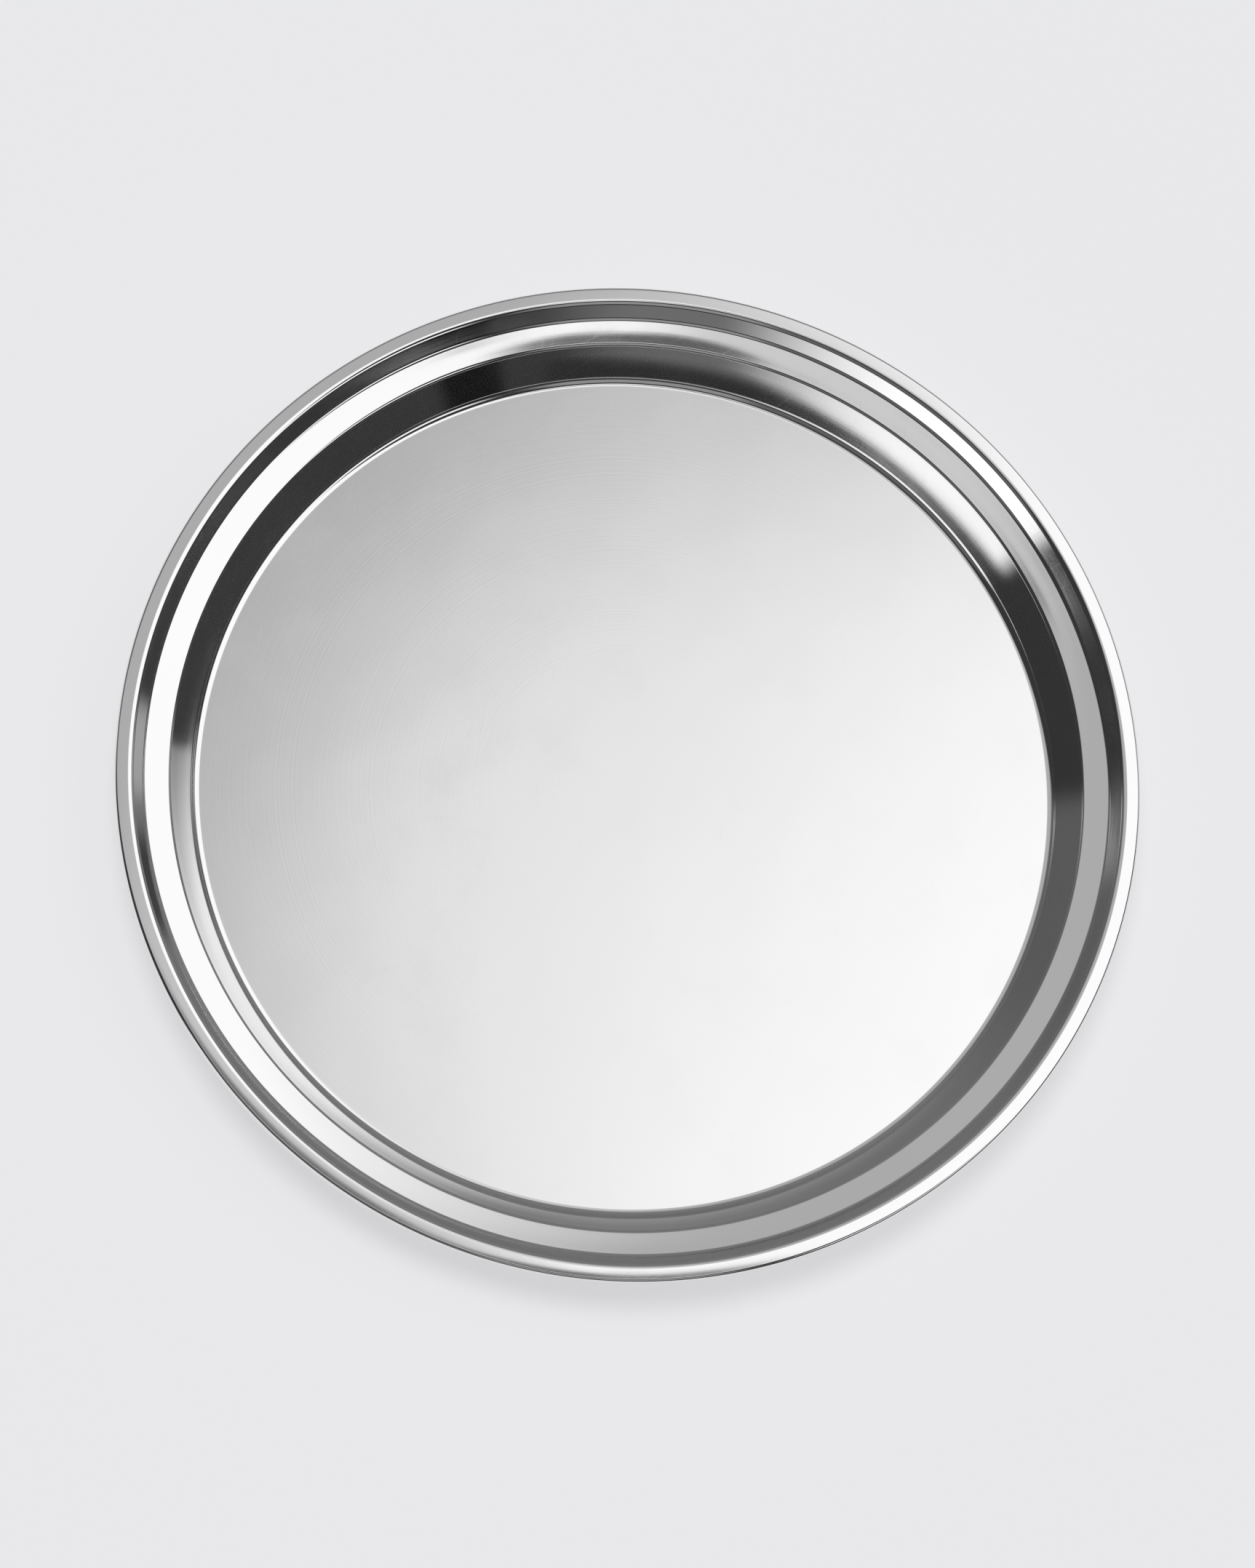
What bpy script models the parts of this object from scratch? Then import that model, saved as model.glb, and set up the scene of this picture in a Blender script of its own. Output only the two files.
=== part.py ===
"""Round serving tray, pressed from one disc of polished stainless steel.

A flat floor is ringed by two steps: a lower wall, a narrow ledge, an upper wall and a rim,
whose edge is rolled under. The tray is one piece, turned about the Z axis, standing on z = 0
with its origin at the centre of its underside. Lengths are in metres.
"""

import math

import bmesh
import bpy
from mathutils import Vector

# Driving dimensions. Radii and slopes belong to the upper, visible face of the sheet.
SHEET = 0.0009
OUTER_RADIUS = 0.1750
FLOOR_RADIUS = 0.1479
LEDGE_INNER_RADIUS = 0.1563
LEDGE_OUTER_RADIUS = 0.1650
CREST_RADIUS = 0.1693
EDGE_DROP = 0.0050

# Slopes of each ring of the face, at its inner and at its outer half.
LOWER_WALL = (math.radians(61.5), math.radians(59.0))
LEDGE = (math.radians(11.0), math.radians(13.0))
UPPER_WALL = (math.radians(52.5), math.radians(52.5))
RIM = (math.radians(-3.7), math.radians(-5.3))

# Bend radii of the same face, and the share of a half ring over which its slope eases.
FLOOR_BEND = 0.0034
LEDGE_BEND = 0.0020
UPPER_WALL_BEND = 0.0023
CREST_BEND = 0.0026
EDGE_BEND = 0.0014
ROLL_RADIUS = 0.0017
ROLL_END = 0.0010
EASE = 0.45

# How finely the solid is faceted.
SEGMENTS = 72
BEND_STEP = math.radians(30.0)
MERGE = 0.00001

STEEL_COLOUR = (0.80, 0.80, 0.80, 1.0)
STEEL_ROUGHNESS = 0.12


def clear_scene():
    for thing in list(bpy.data.objects):
        bpy.data.objects.remove(thing, do_unlink=True)


def rise(run, slope):
    return run * math.tan(slope)


def add_ring(corners, outer_radius, slopes, bend):
    """Adds one ring of the face, whose slope may ease from its inner to its outer half."""
    inner_slope, outer_slope = slopes
    half = (outer_radius - corners[-1][0].x) / 2.0
    middle = corners[-1][0] + Vector((half, rise(half, inner_slope)))
    if inner_slope != outer_slope:
        reach = EASE * half / math.cos(inner_slope)
        corners.append((middle, reach / math.tan(abs(outer_slope - inner_slope) / 2.0)))
    corners.append((middle + Vector((half, rise(half, outer_slope))), bend))


def face_corners():
    """The sharp corners of the tray's upper face, from the axis out and round the rolled edge.

    Each corner is its (radius, height) and the radius of the bend made there.
    """
    corners = [
        (Vector((0.0, SHEET)), 0.0),
        (Vector((FLOOR_RADIUS, SHEET)), FLOOR_BEND),
    ]
    add_ring(corners, LEDGE_INNER_RADIUS, LOWER_WALL, LEDGE_BEND)
    add_ring(corners, LEDGE_OUTER_RADIUS, LEDGE, UPPER_WALL_BEND)
    add_ring(corners, CREST_RADIUS, UPPER_WALL, CREST_BEND)
    add_ring(corners, OUTER_RADIUS, RIM, EDGE_BEND)
    roll_bottom = corners[-1][0].y - EDGE_DROP
    roll_inside = OUTER_RADIUS - 2.0 * ROLL_RADIUS
    return corners + [
        (Vector((OUTER_RADIUS, roll_bottom)), ROLL_RADIUS),
        (Vector((roll_inside, roll_bottom)), ROLL_RADIUS),
        (Vector((roll_inside, roll_bottom + ROLL_RADIUS + ROLL_END)), 0.0),
    ]


def heading(start, end):
    return math.atan2(end.y - start.y, end.x - start.x)


def bend_stations(before, corner, after, radius):
    """Points and headings along the arc that rounds one corner, tangent to both sides."""
    way_in = heading(before, corner)
    way_out = heading(corner, after)
    turn = math.remainder(way_out - way_in, math.tau)
    setback = radius * math.tan(abs(turn) / 2.0)
    side = math.copysign(1.0, turn)
    start = corner - setback * Vector((math.cos(way_in), math.sin(way_in)))
    centre = start + side * radius * Vector((-math.sin(way_in), math.cos(way_in)))
    steps = max(1, round(abs(turn) / BEND_STEP))
    stations = []
    for step in range(steps + 1):
        angle = way_in + turn * step / steps
        point = centre + side * radius * Vector((math.sin(angle), -math.cos(angle)))
        stations.append((point, angle))
    return stations


def face_stations():
    """The upper face as (point, heading) stations, straight runs joined by round bends."""
    corners = face_corners()
    places = [place for place, _ in corners]
    stations = [(places[0], heading(places[0], places[1]))]
    for index in range(1, len(corners) - 1):
        before, corner, after = places[index - 1:index + 2]
        stations += bend_stations(before, corner, after, corners[index][1])
    stations.append((places[-1], heading(places[-2], places[-1])))
    return stations


def sheet_outline():
    """The cut edge of the sheet: out along the upper face and back along the lower one."""
    stations = face_stations()
    upper = [point for point, _ in stations]
    lower = [point + SHEET * Vector((math.sin(angle), -math.cos(angle))) for point, angle in stations]
    return upper + lower[::-1]


def turned_solid(name, outline):
    """A solid of revolution about Z, from an outline whose two ends lie on the axis."""
    mesh = bpy.data.meshes.new(name)
    shape = bmesh.new()
    points = [shape.verts.new((point.x, 0.0, point.y)) for point in outline]
    edges = [shape.edges.new(pair) for pair in zip(points, points[1:])]
    bmesh.ops.spin(
        shape,
        geom=points + edges,
        cent=(0.0, 0.0, 0.0),
        axis=(0.0, 0.0, 1.0),
        angle=math.tau,
        steps=SEGMENTS,
    )
    bmesh.ops.remove_doubles(shape, verts=shape.verts[:], dist=MERGE)
    bmesh.ops.recalc_face_normals(shape, faces=shape.faces[:])
    shape.to_mesh(mesh)
    shape.free()
    mesh.shade_smooth()
    mesh.set_sharp_from_angle(angle=math.radians(40.0))
    solid = bpy.data.objects.new(name, mesh)
    bpy.context.scene.collection.objects.link(solid)
    return solid


def polished_steel():
    steel = bpy.data.materials.new("polished_steel")
    steel.use_nodes = True
    shader = steel.node_tree.nodes["Principled BSDF"]
    shader.inputs["Base Color"].default_value = STEEL_COLOUR
    shader.inputs["Metallic"].default_value = 1.0
    shader.inputs["Roughness"].default_value = STEEL_ROUGHNESS
    return steel


def build_tray():
    tray = turned_solid("tray_body", sheet_outline())
    tray.data.materials.append(polished_steel())


clear_scene()
build_tray()
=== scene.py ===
"""Round serving tray of polished stainless steel, lit in a pale light tent.

The CAD frame gives the tray's overall size. The visible tray is turned here again from the
same face profile with fine, truly tangent bends, and stands in for the faceted CAD solid.
Lengths are in metres, and angles in degrees until they are used. Compass angles run
anticlockwise seen from above, from +X; tilts are measured down from straight up.
"""

import math

import bpy
import numpy as np
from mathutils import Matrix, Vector


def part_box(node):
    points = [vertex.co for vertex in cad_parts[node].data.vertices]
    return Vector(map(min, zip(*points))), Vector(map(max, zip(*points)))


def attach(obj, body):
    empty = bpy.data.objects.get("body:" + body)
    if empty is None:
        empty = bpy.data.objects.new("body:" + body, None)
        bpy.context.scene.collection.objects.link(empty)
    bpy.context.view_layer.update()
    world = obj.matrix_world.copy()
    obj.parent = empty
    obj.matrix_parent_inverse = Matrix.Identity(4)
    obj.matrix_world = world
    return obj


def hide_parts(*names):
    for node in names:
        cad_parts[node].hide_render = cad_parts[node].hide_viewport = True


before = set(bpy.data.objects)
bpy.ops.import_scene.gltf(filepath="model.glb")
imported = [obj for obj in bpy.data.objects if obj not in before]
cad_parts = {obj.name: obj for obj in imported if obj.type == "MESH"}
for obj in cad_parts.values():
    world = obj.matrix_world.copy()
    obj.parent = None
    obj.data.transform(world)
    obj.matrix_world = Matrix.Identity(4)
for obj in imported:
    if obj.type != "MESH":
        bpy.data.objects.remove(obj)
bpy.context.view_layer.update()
LOW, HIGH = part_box("tray_body")

# The tray's face profile. Radii and slopes belong to the upper face of the sheet.
SHEET = 0.0009
OUTER_RADIUS = (HIGH[0] - LOW[0]) / 2.0
FLOOR_RADIUS = 0.1479
LEDGE_INNER_RADIUS = 0.1563
LEDGE_OUTER_RADIUS = 0.1650
CREST_RADIUS = 0.1693
EDGE_DROP = 0.0050

# Slopes of each ring of the face, at its inner and at its outer half.
LOWER_WALL = (math.radians(61.5), math.radians(59.0))
LEDGE = (math.radians(11.0), math.radians(13.0))
UPPER_WALL = (math.radians(52.5), math.radians(52.5))
RIM = (math.radians(-3.7), math.radians(-5.3))

# Bend radii of the same face, and the share of a half ring over which its slope eases.
FLOOR_BEND = 0.0034
LEDGE_BEND = 0.0020
UPPER_WALL_BEND = 0.0023
CREST_BEND = 0.0026
EDGE_BEND = 0.0014
ROLL_RADIUS = 0.0017
ROLL_END = 0.0010
EASE = 0.45

# Fineness of the visible surface. Stations nearer the axis than AXIS_GAP become its two poles,
# and two bends that meet within SAME_PLACE share a station, so that no face has zero area.
SEGMENTS = 400
BEND_STEP = math.radians(7.0)
CUT_EDGE_STEPS = 6
AXIS_GAP = 0.0003
SAME_PLACE = 0.000001

# Camera: where it looks from, how far below the tray's top it aims, its sideways and upward
# shift, its sensor and lens in millimetres, and how far it sees.
CAMERA_TILT = 15.54
CAMERA_COMPASS = 251.2
CAMERA_DISTANCE = 2.3
AIM_DROP = 0.0019
FRAME_SHIFT = Vector((-0.00097, -0.00264, 0.0))
SENSOR = 36.0
LENS = 155.2
CAMERA_REACH = 50.0

# The light tent. A round panel is its compass angle, tilt, radius, soft edge and brightness. A
# band panel is its middle compass angle, half width, upper and lower tilt, the soft edge of its
# sides, that of its top and bottom, and brightness. A card is flat: its compass angle, tilt,
# half width, half height, the same two soft edges, and brightness. Later panels hang in front.
TENT_LEVEL = 0.20
PANELS = (
    ("round", "ceiling", 110.0, 6.0, 40.0, 24.0, 0.475),
    ("round", "ceiling lamp", 220.0, 2.0, 12.0, 12.0, 0.70),
    ("band", "north-west side", 150.0, 24.0, 50.0, 90.0, 30.0, 14.0, 0.13),
    ("band", "key light foot", 22.0, 14.0, 50.0, 64.0, 8.0, 6.0, 0.42),
    ("round", "key light corner", 36.0, 38.0, 16.0, 26.0, 1.14),
    ("round", "bounce board", 65.0, 14.6, 3.8, 2.8, 0.93),
    ("round", "key light", 357.0, 30.2, 28.0, 4.5, 1.14),
    ("round", "key light side", 40.0, 44.0, 12.3, 8.0, 1.14),
    ("band", "south-east flag", 290.0, 46.0, 14.0, 90.0, 6.0, 6.0, 0.035),
    ("band", "south-east wall", 272.0, 21.0, 28.0, 64.0, 8.0, 8.0, 0.30),
    ("band", "key light wing", 324.0, 22.0, 42.0, 58.0, 8.0, 5.0, 1.14),
    ("band", "east flag", 330.0, 43.0, 57.0, 90.0, 1.5, 5.0, 0.045),
    ("round", "lamp by the wall", 13.0, 76.0, 5.0, 4.0, 0.45),
    ("round", "lamp stand", 27.0, 70.5, 5.0, 4.0, 0.05),
    ("band", "south-west wall", 225.0, 28.0, 30.0, 70.0, 10.0, 8.0, 0.13),
    ("band", "south shelf", 236.0, 50.0, 66.0, 90.0, 10.0, 6.0, 0.03),
    ("card", "window in shade", 262.0, 90.0, 20.0, 11.0, 20.0, 3.0, 0.17),
    ("card", "low window", 205.0, 90.0, 37.0, 14.4, 38.0, 2.5, 1.25),
    ("band", "dark corner", 300.0, 5.0, 66.0, 90.0, 3.0, 6.0, 0.01),
    ("band", "west flag", 182.0, 19.0, 16.0, 90.0, 5.0, 6.0, 0.04),
    ("band", "south-west flag", 222.0, 24.0, 11.3, 34.0, 8.0, 3.5, 0.06),
    ("card", "camera arm", 356.0, 3.0, 1.2, 5.5, 1.0, 1.0, 0.16),
    ("card", "camera boom", 143.0, 7.7, 1.6, 5.8, 1.5, 2.0, 0.14),
    ("round", "photographer", 343.0, 6.7, 3.2, 1.4, 0.15),
    ("round", "camera", 324.0, 3.6, 3.3, 1.4, 0.10),
)

# A card is met only by rays that go at least this much its way.
BARELY_AHEAD = 0.0001

# The plain colour that the camera sees past the floor, and of the floor's own glow.
BACKDROP = (0.807, 0.807, 0.823, 1.0)

# The floor is a pale light table: its size, its own colour and the strength of its glow.
FLOOR_SIZE = 12.0
FLOOR_COLOUR = (0.25, 0.25, 0.253, 1.0)
FLOOR_GLOW = 0.71

# Steel: its two tones, its finest roughness, and how much rougher clouds, wiping marks, turning
# lines, scratches and the worn edge make it.
STEEL_DARK = (0.83, 0.83, 0.83, 1.0)
STEEL_LIGHT = (0.87, 0.87, 0.87, 1.0)
POLISH = 0.045
CLOUD_ROUGHNESS = 0.05
WIPING_ROUGHNESS = 0.025
TURNING_ROUGHNESS = 0.02
SCRATCH_ROUGHNESS = 0.04
WEAR_ROUGHNESS = 0.06

# How many of the steel's marks there are to a metre, and of the streaks that drawing leaves up
# the walls to a radian.
CLOUDS_PER_METRE = 11.0
WIPES_PER_METRE = 38.0
TURNING_LINES_PER_METRE = 1400.0
SWAYS_PER_METRE = 24.0
STREAKS_PER_RADIAN = 60.0

# The depth of the turning lines, the streaks and the sheet's slow sway.
TURNING_DEPTH = 0.000002
DRAWING_DEPTH = 0.0000012
SWAY_DEPTH = 0.000040

# The noise levels between which the wiping marks come in.
WIPES_START = 0.45
WIPES_FULL = 0.75

# Scratches: the compass angle, length and spacing of each set, and the same two noise levels.
SCRATCHES = (
    (24.0, 0.030, 0.00035),
    (-37.0, 0.022, 0.00030),
    (81.0, 0.026, 0.00040),
)
SCRATCH_START = 0.68
SCRATCH_FULL = 0.78

# The lamp that shades the floor: where it shines from, its spread in degrees and its strength.
LAMP_COMPASS = 110.0
LAMP_TILT = 14.0
LAMP_SPREAD = 26.0
LAMP_STRENGTH = 1.8


def heading(start, end):
    return math.atan2(end.y - start.y, end.x - start.x)


def rise(run, slope):
    return run * math.tan(slope)


def add_ring(corners, outer_radius, slopes, bend):
    """Adds one ring of the face, whose slope may ease from its inner to its outer half."""
    inner_slope, outer_slope = slopes
    half = (outer_radius - corners[-1][0].x) / 2.0
    middle = corners[-1][0] + Vector((half, rise(half, inner_slope)))
    if inner_slope != outer_slope:
        reach = EASE * half / math.cos(inner_slope)
        corners.append((middle, reach / math.tan(abs(outer_slope - inner_slope) / 2.0)))
    corners.append((middle + Vector((half, rise(half, outer_slope))), bend))


def face_corners():
    """The sharp corners of the upper face as ((radius, height), bend radius), from the axis out."""
    corners = [
        (Vector((0.0, SHEET)), 0.0),
        (Vector((FLOOR_RADIUS, SHEET)), FLOOR_BEND),
    ]
    add_ring(corners, LEDGE_INNER_RADIUS, LOWER_WALL, LEDGE_BEND)
    add_ring(corners, LEDGE_OUTER_RADIUS, LEDGE, UPPER_WALL_BEND)
    add_ring(corners, CREST_RADIUS, UPPER_WALL, CREST_BEND)
    add_ring(corners, OUTER_RADIUS, RIM, EDGE_BEND)
    roll_bottom = corners[-1][0].y - EDGE_DROP
    roll_inside = OUTER_RADIUS - 2.0 * ROLL_RADIUS
    return corners + [
        (Vector((OUTER_RADIUS, roll_bottom)), ROLL_RADIUS),
        (Vector((roll_inside, roll_bottom)), ROLL_RADIUS),
        (Vector((roll_inside, roll_bottom + ROLL_RADIUS + ROLL_END)), 0.0),
    ]


def bend_stations(before, corner, after, radius):
    """Points and headings along the arc that rounds one corner, tangent to both sides."""
    way_in = heading(before, corner)
    turn = math.remainder(heading(corner, after) - way_in, math.tau)
    setback = radius * math.tan(abs(turn) / 2.0)
    side = math.copysign(1.0, turn)
    start = corner - setback * Vector((math.cos(way_in), math.sin(way_in)))
    centre = start + side * radius * Vector((-math.sin(way_in), math.cos(way_in)))
    steps = max(2, math.ceil(abs(turn) / BEND_STEP))
    stations = []
    for step in range(steps + 1):
        angle = way_in + turn * step / steps
        point = centre + side * radius * Vector((math.sin(angle), -math.cos(angle)))
        stations.append((point, angle))
    return stations


def face_stations():
    """The upper face as (point, heading) stations: straight runs joined by round bends."""
    corners = face_corners()
    places = [place for place, _ in corners]
    stations = [(places[0], heading(places[0], places[1]))]
    for index in range(1, len(corners) - 1):
        before, corner, after = places[index - 1:index + 2]
        bend = bend_stations(before, corner, after, corners[index][1])
        if (bend[0][0] - stations[-1][0]).length < SAME_PLACE:
            bend = bend[1:]
        stations += bend
    stations.append((places[-1], heading(places[-2], places[-1])))
    return stations


def cut_edge_stations(point, angle):
    """The sheet's bare end, rounded over as a half circle from one face to the other."""
    middle = point + 0.5 * SHEET * Vector((math.sin(angle), -math.cos(angle)))
    stations = []
    for step in range(1, CUT_EDGE_STEPS):
        turned = angle - math.pi * step / CUT_EDGE_STEPS
        reach = 0.5 * SHEET * Vector((-math.sin(turned), math.cos(turned)))
        stations.append((middle + reach, turned))
    return stations


def sheet_stations():
    """The whole sheet in section: out along the upper face, round its end, and back below."""
    upper = face_stations()
    lower = [
        (point + SHEET * Vector((math.sin(angle), -math.cos(angle))), angle - math.pi)
        for point, angle in upper
    ]
    return upper + cut_edge_stations(*upper[-1]) + lower[::-1]


def turned_piece(name, stations):
    """A smooth solid of revolution whose normals come exactly from the section's headings."""
    inner = [station for station in stations if station[0].x > AXIS_GAP]
    compass = np.arange(SEGMENTS) * math.tau / SEGMENTS
    cosine, sine = np.cos(compass), np.sin(compass)
    points = [(0.0, 0.0, stations[0][0].y)]
    normals = [(0.0, 0.0, 1.0)]
    for point, angle in inner:
        points += list(zip(point.x * cosine, point.x * sine, np.full(SEGMENTS, point.y)))
        outward, upward = -math.sin(angle), math.cos(angle)
        normals += list(zip(outward * cosine, outward * sine, np.full(SEGMENTS, upward)))
    points.append((0.0, 0.0, stations[-1][0].y))
    normals.append((0.0, 0.0, -1.0))
    last = len(points) - 1
    faces = []
    for around in range(SEGMENTS):
        onward = (around + 1) % SEGMENTS
        faces.append((0, 1 + around, 1 + onward))
        for ring in range(len(inner) - 1):
            here = 1 + ring * SEGMENTS
            after = here + SEGMENTS
            faces.append((here + around, after + around, after + onward, here + onward))
        rim = 1 + (len(inner) - 1) * SEGMENTS
        faces.append((rim + around, last, rim + onward))
    mesh = bpy.data.meshes.new(name)
    mesh.from_pydata(points, [], faces)
    mesh.shade_smooth()
    mesh.normals_split_custom_set_from_vertices(normals)
    mesh.validate()
    piece = bpy.data.objects.new(name, mesh)
    bpy.context.scene.collection.objects.link(piece)
    return piece


def feed(tree, socket, value):
    """Gives a socket a fixed value, or a link if the value is another node's output."""
    if isinstance(value, bpy.types.NodeSocket):
        tree.links.new(value, socket)
    else:
        socket.default_value = value


def maths(tree, operation, *values):
    node = tree.nodes.new("ShaderNodeMath")
    node.operation = operation
    for socket, value in zip(node.inputs, values):
        feed(tree, socket, value)
    return node.outputs["Value"]


def vector_maths(tree, operation, *values, output="Vector"):
    node = tree.nodes.new("ShaderNodeVectorMath")
    node.operation = operation
    for socket, value in zip(node.inputs, values):
        feed(tree, socket, value)
    return node.outputs[output]


def soft_step(tree, value, start, end):
    """0 up to start, 1 from end on, and smooth between; end may be the smaller one."""
    node = tree.nodes.new("ShaderNodeMapRange")
    node.interpolation_type = "SMOOTHSTEP"
    feed(tree, node.inputs["Value"], value)
    node.inputs["From Min"].default_value = start
    node.inputs["From Max"].default_value = end
    return node.outputs["Result"]


def mixed(tree, share, below, above):
    node = tree.nodes.new("ShaderNodeMix")
    node.data_type = "FLOAT"
    feed(tree, node.inputs["Factor"], share)
    feed(tree, node.inputs["A"], below)
    feed(tree, node.inputs["B"], above)
    return node.outputs["Result"]


def noise(tree, place, scale, detail=2.0, roughness=0.5, dimensions="3D"):
    """A noise texture, about 0.5 on average, read at a place or, in 1D, at a number."""
    node = tree.nodes.new("ShaderNodeTexNoise")
    node.noise_dimensions = dimensions
    feed(tree, node.inputs["W" if dimensions == "1D" else "Vector"], place)
    node.inputs["Scale"].default_value = scale
    node.inputs["Detail"].default_value = detail
    node.inputs["Roughness"].default_value = roughness
    return node.outputs["Fac"]


def hairlines(tree, place, turn, length, spacing):
    """Sparse straight scratches in one direction over the tray, 0 to 1."""
    mapping = tree.nodes.new("ShaderNodeMapping")
    mapping.vector_type = "TEXTURE"
    feed(tree, mapping.inputs["Vector"], place)
    mapping.inputs["Rotation"].default_value = (0.0, 0.0, math.radians(turn))
    mapping.inputs["Scale"].default_value = (length, spacing, length)
    streaks = noise(tree, mapping.outputs["Vector"], 1.0, detail=1.0)
    return soft_step(tree, streaks, SCRATCH_START, SCRATCH_FULL)


def steel_material():
    """Mirror-polished steel: turning lines, drawing streaks, wiping marks and a few scratches."""
    steel = bpy.data.materials.new("polished_steel")
    steel.use_nodes = True
    tree = steel.node_tree
    shader = tree.nodes["Principled BSDF"]
    shader.inputs["Metallic"].default_value = 1.0
    place = tree.nodes.new("ShaderNodeTexCoord").outputs["Object"]
    across = vector_maths(tree, "MULTIPLY", place, Vector((1.0, 1.0, 0.0)))
    radius = vector_maths(tree, "LENGTH", across, output="Value")

    clouds = noise(tree, place, CLOUDS_PER_METRE, detail=3.0)
    wiping = noise(tree, place, WIPES_PER_METRE, detail=4.0, roughness=0.6)
    wiping = soft_step(tree, wiping, WIPES_START, WIPES_FULL)
    turning = noise(
        tree, radius, TURNING_LINES_PER_METRE, detail=3.0, roughness=0.7, dimensions="1D"
    )
    marks = 0.0
    for turn, length, spacing in SCRATCHES:
        marks = maths(tree, "ADD", hairlines(tree, place, turn, length, spacing), marks)
    wear = soft_step(tree, radius, OUTER_RADIUS - EDGE_BEND, OUTER_RADIUS)

    roughness = POLISH
    for mark, gain in (
        (clouds, CLOUD_ROUGHNESS),
        (wiping, WIPING_ROUGHNESS),
        (turning, TURNING_ROUGHNESS),
        (marks, SCRATCH_ROUGHNESS),
        (wear, WEAR_ROUGHNESS),
    ):
        roughness = maths(tree, "MULTIPLY_ADD", mark, gain, roughness)
    feed(tree, shader.inputs["Roughness"], roughness)

    tone = tree.nodes.new("ShaderNodeMix")
    tone.data_type = "RGBA"
    feed(tree, tone.inputs["Factor"], clouds)
    tone.inputs["A"].default_value = STEEL_DARK
    tone.inputs["B"].default_value = STEEL_LIGHT
    tree.links.new(tone.outputs["Result"], shader.inputs["Base Color"])

    spread = Vector((STREAKS_PER_RADIAN, STREAKS_PER_RADIAN, 0.0))
    outward = vector_maths(tree, "MULTIPLY", vector_maths(tree, "NORMALIZE", across), spread)
    drawn = noise(tree, vector_maths(tree, "ADD", outward, place), 1.0, detail=2.0)
    walls = soft_step(tree, radius, FLOOR_RADIUS - FLOOR_BEND, FLOOR_RADIUS)
    drawn = maths(tree, "MULTIPLY", drawn, walls)
    sway = noise(tree, place, SWAYS_PER_METRE, detail=1.0)
    relief = maths(tree, "MULTIPLY", turning, TURNING_DEPTH)
    relief = maths(tree, "MULTIPLY_ADD", drawn, DRAWING_DEPTH, relief)
    relief = maths(tree, "MULTIPLY_ADD", sway, SWAY_DEPTH, relief)
    bump = tree.nodes.new("ShaderNodeBump")
    bump.inputs["Strength"].default_value = 1.0
    bump.inputs["Distance"].default_value = 1.0
    feed(tree, bump.inputs["Height"], relief)
    tree.links.new(bump.outputs["Normal"], shader.inputs["Normal"])
    return steel


def pale_floor():
    """A wide pale floor that glows a little, so that shadows on it stay light."""
    bpy.ops.mesh.primitive_plane_add(size=FLOOR_SIZE)
    floor = bpy.context.active_object
    floor.name = "pale_floor"
    paper = bpy.data.materials.new("pale_paper")
    paper.use_nodes = True
    shader = paper.node_tree.nodes["Principled BSDF"]
    shader.inputs["Base Color"].default_value = FLOOR_COLOUR
    shader.inputs["Roughness"].default_value = 1.0
    shader.inputs["Specular IOR Level"].default_value = 0.0
    shader.inputs["Emission Color"].default_value = BACKDROP
    shader.inputs["Emission Strength"].default_value = FLOOR_GLOW
    floor.data.materials.append(paper)


def towards(compass, tilt):
    """The unit vector at a compass angle and a tilt down from straight up, in degrees."""
    around, down = math.radians(compass), math.radians(tilt)
    return Vector((
        math.sin(down) * math.cos(around),
        math.sin(down) * math.sin(around),
        math.cos(down),
    ))


def add_camera():
    back = towards(CAMERA_COMPASS, CAMERA_TILT)
    turn = Vector((0.0, 0.0, 1.0)).rotation_difference(back)
    target = Vector((0.0, 0.0, HIGH[2] - AIM_DROP))
    lens = bpy.data.cameras.new("photo_camera")
    lens.sensor_width = SENSOR
    lens.lens = LENS
    lens.clip_end = CAMERA_REACH
    camera = bpy.data.objects.new("photo_camera", lens)
    camera.rotation_mode = "QUATERNION"
    camera.rotation_quaternion = turn
    camera.location = target + CAMERA_DISTANCE * back + turn @ FRAME_SHIFT
    bpy.context.scene.collection.objects.link(camera)
    bpy.context.scene.camera = camera


def round_panel(tree, ray, compass, tilt, radius, edge):
    """The share of a soft-edged disc of the tent that a ray meets."""
    facing = vector_maths(tree, "DOT_PRODUCT", ray, towards(compass, tilt), output="Value")
    inner = math.cos(math.radians(radius - edge / 2.0))
    outer = math.cos(math.radians(radius + edge / 2.0))
    return soft_step(tree, facing, outer, inner)


def band_panel(tree, around, down, compass, half_width, top, bottom, side, edge):
    """The share of a soft-edged stretch of the tent's wall between two tilts."""
    offset = maths(tree, "SUBTRACT", around, math.radians(compass))
    offset = maths(tree, "WRAP", offset, math.pi, -math.pi)
    offset = maths(tree, "ABSOLUTE", offset)
    wide = math.radians(half_width + side / 2.0)
    narrow = math.radians(half_width - side / 2.0)
    share = soft_step(tree, offset, wide, narrow)
    if top > 0.0:
        first, last = math.radians(top - edge / 2.0), math.radians(top + edge / 2.0)
        share = maths(tree, "MULTIPLY", share, soft_step(tree, down, first, last))
    if bottom < 90.0:
        first, last = math.radians(bottom + edge / 2.0), math.radians(bottom - edge / 2.0)
        share = maths(tree, "MULTIPLY", share, soft_step(tree, down, first, last))
    return share


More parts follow.
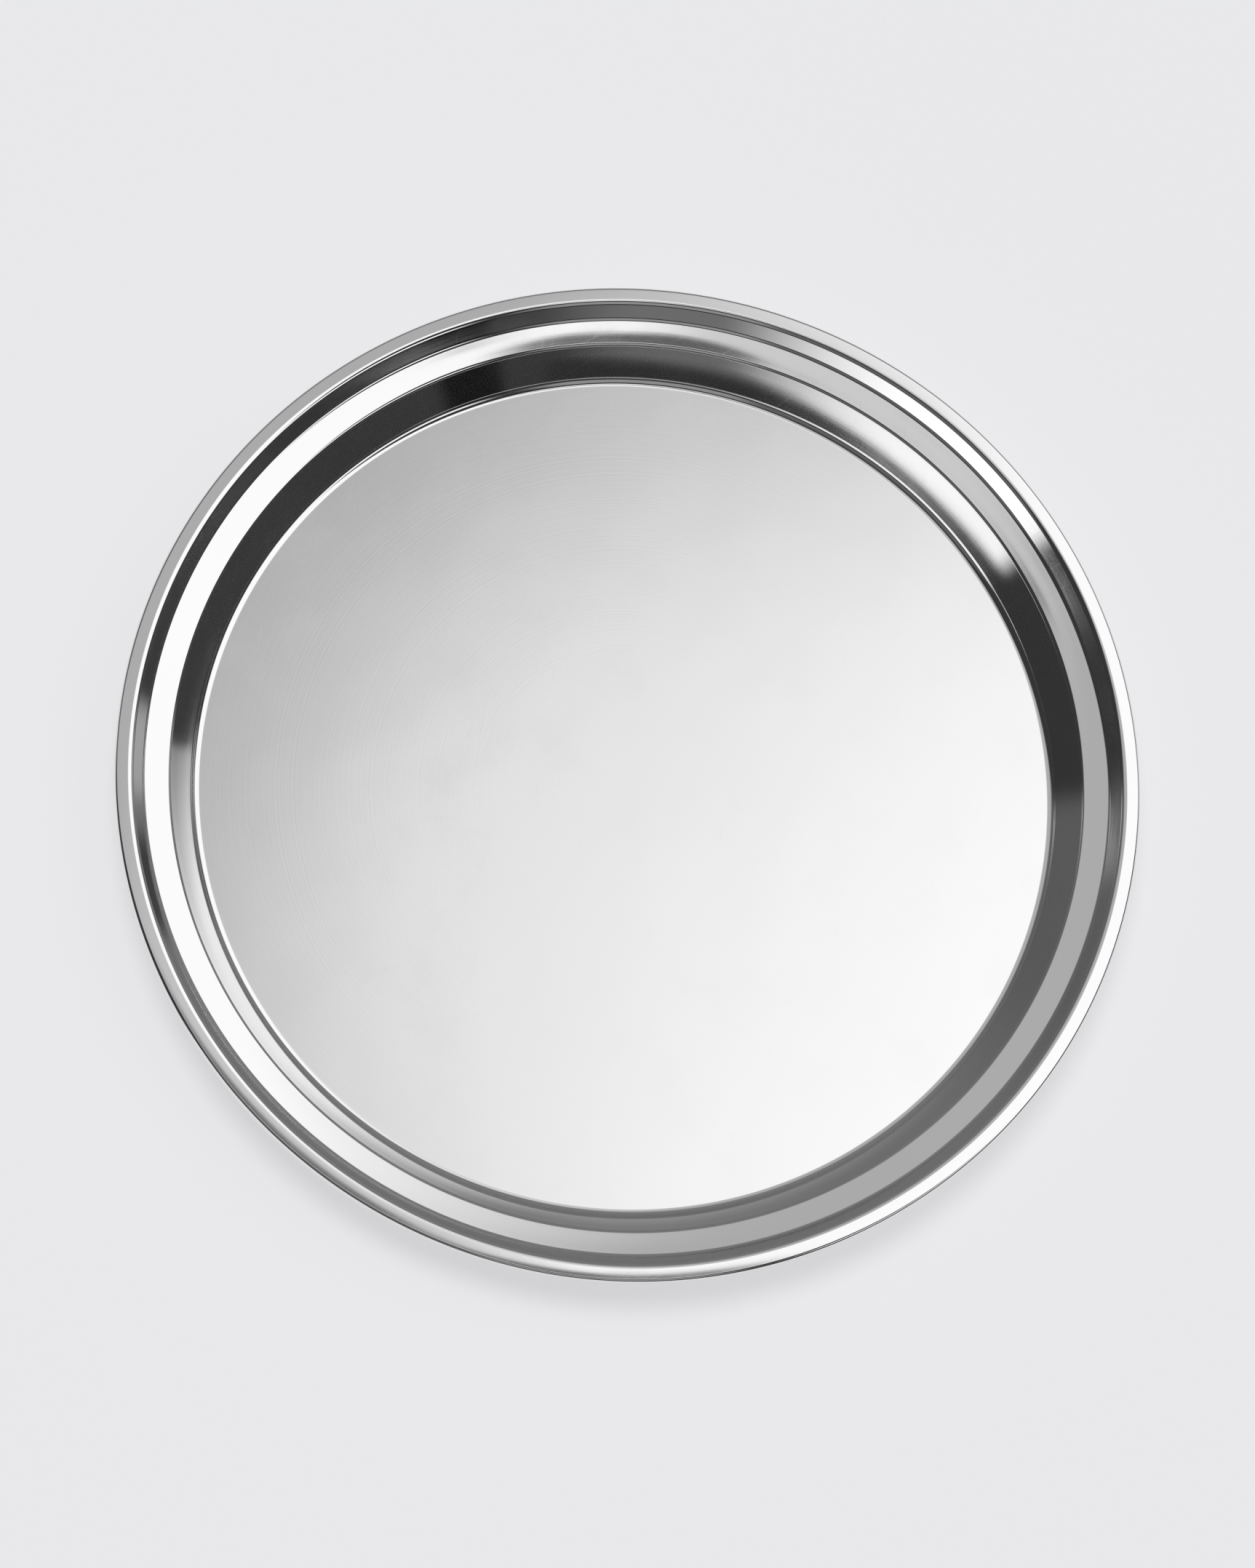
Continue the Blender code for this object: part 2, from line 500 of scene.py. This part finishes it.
def card_panel(tree, ray, compass, tilt, half_width, half_height, side, edge):
    """The share of a flat, upright, soft-edged card that faces the tray."""
    facing = towards(compass, tilt)
    sideways = towards(compass + 90.0, 90.0)
    ahead = vector_maths(tree, "DOT_PRODUCT", ray, facing, output="Value")
    ahead = maths(tree, "MAXIMUM", ahead, BARELY_AHEAD)
    share = 1.0
    for way, half, soft in (
        (sideways, half_width, side),
        (facing.cross(sideways), half_height, edge),
    ):
        reach = vector_maths(tree, "DOT_PRODUCT", ray, way, output="Value")
        reach = maths(tree, "ABSOLUTE", maths(tree, "DIVIDE", reach, ahead))
        wide = math.tan(math.radians(half + soft / 2.0))
        narrow = math.tan(math.radians(half - soft / 2.0))
        share = maths(tree, "MULTIPLY", soft_step(tree, reach, wide, narrow), share)
    return share


def light_tent():
    """An even grey tent hung with bright and dark panels, which the polished steel mirrors."""
    world = bpy.data.worlds.new("light_tent")
    bpy.context.scene.world = world
    world.use_nodes = True
    tree = world.node_tree
    ray = tree.nodes.new("ShaderNodeTexCoord").outputs["Generated"]
    parts = tree.nodes.new("ShaderNodeSeparateXYZ")
    feed(tree, parts.inputs["Vector"], ray)
    around = maths(tree, "ARCTAN2", parts.outputs["Y"], parts.outputs["X"])
    down = maths(tree, "ARCCOSINE", parts.outputs["Z"])
    level = TENT_LEVEL
    for kind, name, *shape, brightness in PANELS:
        if kind == "round":
            share = round_panel(tree, ray, *shape)
        elif kind == "card":
            share = card_panel(tree, ray, *shape)
        else:
            share = band_panel(tree, around, down, *shape)
        share.node.label = name
        level = mixed(tree, share, level, brightness)
    tent = tree.nodes["Background"]
    feed(tree, tent.inputs["Color"], level)
    backdrop = tree.nodes.new("ShaderNodeBackground")
    backdrop.inputs["Color"].default_value = BACKDROP
    path = tree.nodes.new("ShaderNodeLightPath")
    blend = tree.nodes.new("ShaderNodeMixShader")
    feed(tree, blend.inputs["Fac"], path.outputs["Is Camera Ray"])
    tree.links.new(tent.outputs["Background"], blend.inputs[1])
    tree.links.new(backdrop.outputs["Background"], blend.inputs[2])
    tree.links.new(blend.outputs["Shader"], tree.nodes["World Output"].inputs["Surface"])
    bpy.context.scene.view_settings.view_transform = "Standard"


def overhead_lamp():
    """A broad soft lamp that shades the floor beside the tray; the steel doesn't mirror it."""
    lamp = bpy.data.lights.new("overhead_lamp", "SUN")
    lamp.energy = LAMP_STRENGTH
    lamp.angle = math.radians(LAMP_SPREAD)
    holder = bpy.data.objects.new("overhead_lamp", lamp)
    holder.rotation_mode = "QUATERNION"
    source = towards(LAMP_COMPASS, LAMP_TILT)
    holder.rotation_quaternion = source.to_track_quat("Z", "Y")
    holder.visible_glossy = False
    bpy.context.scene.collection.objects.link(holder)


steel = steel_material()
tray = turned_piece("tray", sheet_stations())
tray.data.materials.append(steel)
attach(tray, "root")
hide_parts("tray_body")
pale_floor()
add_camera()
light_tent()
overhead_lamp()
